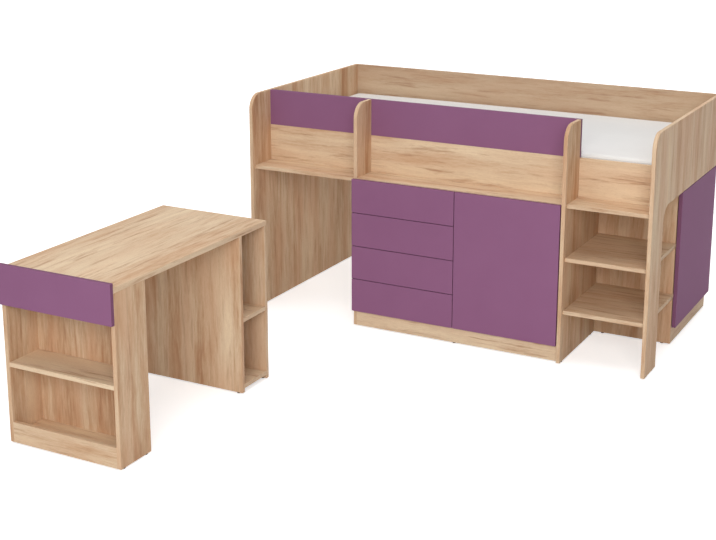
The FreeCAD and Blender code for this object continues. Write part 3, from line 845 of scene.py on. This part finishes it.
class LOFTBED_OT_edge_tape(bpy.types.Operator):
    """Sew a round edge tape along the upper and lower edges of the mattress"""
    bl_idname = "loft_bed.edge_tape"
    bl_label = "Mattress edge tape"

    def execute(self, context):
        look = context.scene.loft_bed.bedding
        low, high = mattress_space(look)
        material = woven_tape(look)
        for name, height in (("upper", high.z - look.edge_round), ("lower", low.z + look.edge_round)):
            self.ring(low, high, height, look)
            new_piece(f"mattress_tape_{name}", "bed_frame", material)
        return {"FINISHED"}

    def ring(self, low, high, height, look):
        """A rounded ring drawn onto the mattress and given the tape's thickness."""
        centre = (low + high) / 2
        size = high - low
        deselect()
        bpy.ops.mesh.primitive_plane_add(size=1, location=(centre.x, centre.y, height))
        obj = bpy.context.object
        obj.scale = (size.x - 2 * look.side_inset, size.y - 2 * look.side_inset, 1)
        settle(obj)
        bpy.ops.object.mode_set(mode="EDIT")
        bpy.ops.mesh.select_all(action="SELECT")
        bpy.ops.mesh.bevel(offset=look.edge_round, segments=TAPE_CORNER_STEPS, affect="VERTICES")
        bpy.ops.mesh.select_all(action="SELECT")
        bpy.ops.mesh.delete(type="ONLY_FACE")
        select_parts(obj, "EDGE", lambda edge: edge.calc_length() > look.edge_round)
        bpy.ops.mesh.subdivide(number_cuts=TAPE_CUTS)
        bpy.ops.object.mode_set(mode="OBJECT")
        bpy.ops.object.modifier_add(type="SHRINKWRAP")
        wrap = obj.modifiers[-1]
        wrap.target = bpy.data.objects["mattress_cover"]
        wrap.wrap_mode = "ON_SURFACE"
        wrap.offset = -look.tape_sink
        bpy.ops.object.modifier_apply(modifier=wrap.name)
        bpy.ops.object.convert(target="CURVE")
        obj = bpy.context.object
        obj.data.bevel_depth = look.tape_radius
        obj.data.bevel_resolution = 2
        bpy.ops.object.convert(target="MESH")
        bpy.ops.object.shade_smooth()


def floor_look():
    """A pale floor that takes the soft shadow near the bed and is plain white far from it."""
    build = Look("studio_floor")
    x, y, z = build.axes()
    far = build.between(x * x + y * y, FLOOR_SHADOW ** 2, FLOOR_WHITE ** 2)
    seen = build.node("ShaderNodeLightPath", {}, {}, "Is Camera Ray")
    glossy = build.node("ShaderNodeLightPath", {}, {}, "Is Glossy Ray")
    through = build.node("ShaderNodeLightPath", {}, {}, "Is Transmission Ray")
    shown = seen + glossy + through
    pale = build.mix(far, FLOOR_PALE, FLOOR_DULL)
    glow = shown * (FLOOR_SHOWN + far * (1 - FLOOR_SHOWN))
    return build.finish(Base_Color=pale, Roughness=0.9, Specular_IOR_Level=0.0, Emission_Color=glow,
                        Emission_Strength=1.0)


class LOFTBED_OT_stage(bpy.types.Operator):
    """Set up the floor, the soft lights and the camera"""
    bl_idname = "loft_bed.stage"
    bl_label = "Studio"

    def execute(self, context):
        look = context.scene.loft_bed.stage
        context.scene.view_settings.view_transform = "Standard"
        self.floor()
        self.sky(context, look)
        for name, (place, size) in LAMPS.items():
            self.lamp(name, place, size, getattr(look, name.replace("light", "power")))
        bpy.data.objects["rear_light"].visible_glossy = False
        self.camera(context, look)
        return {"FINISHED"}

    def floor(self):
        deselect()
        bpy.ops.mesh.primitive_plane_add(size=FLOOR_SIZE, location=(0, 0, 0))
        floor = bpy.context.object
        floor.name = "studio_floor"
        floor.data.materials.append(floor_look())

    def sky(self, context, look):
        """A sky that shows white and lights the part less from the right, where the photograph is darker."""
        world = bpy.data.worlds.new("studio_sky")
        context.scene.world = world
        world.use_nodes = True
        tree = world.node_tree
        way = tree.nodes.new("ShaderNodeTexCoord")
        part = tree.nodes.new("ShaderNodeSeparateXYZ")
        tree.links.new(way.outputs["Generated"], part.inputs[0])
        level = tree.nodes.new("ShaderNodeMapRange")
        levels = {"From Min": SKY_LEFT, "From Max": SKY_RIGHT, "To Min": look.sky_level,
                  "To Max": look.sky_level * look.sky_right}
        for key, value in levels.items():
            level.inputs[key].default_value = value
        tree.links.new(part.outputs["X"], level.inputs["Value"])
        lit = tree.nodes["Background"]
        lit.inputs["Color"].default_value = WHITE
        tree.links.new(level.outputs[0], lit.inputs["Strength"])
        seen = tree.nodes.new("ShaderNodeBackground")
        seen.inputs["Color"].default_value = WHITE
        rays = tree.nodes.new("ShaderNodeLightPath")
        shown = rays.outputs["Is Camera Ray"]
        for kind in ("Is Glossy Ray", "Is Transmission Ray"):
            either = tree.nodes.new("ShaderNodeMath")
            tree.links.new(shown, either.inputs[0])
            tree.links.new(rays.outputs[kind], either.inputs[1])
            shown = either.outputs[0]
        choice = tree.nodes.new("ShaderNodeMixShader")
        for number, output in enumerate((shown, lit.outputs[0], seen.outputs[0])):
            tree.links.new(output, choice.inputs[number])
        tree.links.new(choice.outputs[0], tree.nodes["World Output"].inputs["Surface"])

    def lamp(self, name, place, size, power):
        deselect()
        bpy.ops.object.light_add(type="AREA", location=place)
        lamp = bpy.context.object
        lamp.name = name
        lamp.data.shape = "RECTANGLE"
        lamp.data.size, lamp.data.size_y = size
        lamp.data.energy = power
        aim = Vector(LAMP_AIM) - Vector(place)
        lamp.rotation_euler = aim.to_track_quat("-Z", "Y").to_euler()

    def camera(self, context, look):
        deselect()
        bpy.ops.object.camera_add(location=look.camera_place,
                                  rotation=(math.pi / 2 - look.camera_pitch, 0, look.camera_turn))
        camera = bpy.context.object
        camera.name = "photo_camera"
        camera.data.lens = look.lens
        camera.data.shift_y = look.shift_y
        context.scene.camera = camera


OPERATORS = [LOFTBED_OT_boards, LOFTBED_OT_fronts, LOFTBED_OT_drawer_boxes, LOFTBED_OT_bed_base,
             LOFTBED_OT_hardware, LOFTBED_OT_fasteners, LOFTBED_OT_mattress, LOFTBED_OT_edge_tape,
             LOFTBED_OT_stage]


class LOFTBED_PT_panel(bpy.types.Panel):
    """Lists the loft bed's steps and settings"""
    bl_idname = "LOFTBED_PT_panel"
    bl_label = "Loft bed"
    bl_space_type = "VIEW_3D"
    bl_region_type = "UI"
    bl_category = "Loft bed"

    def draw(self, context):
        settings = context.scene.loft_bed
        for operator in OPERATORS:
            self.layout.operator(operator.bl_idname)
        groups = (settings.boards, settings.fronts, settings.hardware, settings.bedding, settings.stage)
        for group in groups:
            column = self.layout.column()
            for name in group.__annotations__:
                column.prop(group, name)


CLASSES = [BoardLook, FrontLook, HardwareLook, BeddingLook, StageLook, LoftBedSettings, *OPERATORS,
           LOFTBED_PT_panel]


def register():
    for entry in CLASSES:
        bpy.utils.register_class(entry)
    bpy.types.Scene.loft_bed = PointerProperty(type=LoftBedSettings)


def unregister():
    del bpy.types.Scene.loft_bed
    for entry in reversed(CLASSES):
        bpy.utils.unregister_class(entry)


def main():
    register()
    for operator in OPERATORS:
        group, name = operator.bl_idname.split(".")
        getattr(getattr(bpy.ops, group), name)()
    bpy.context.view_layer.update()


if __name__ == "__main__":
    main()
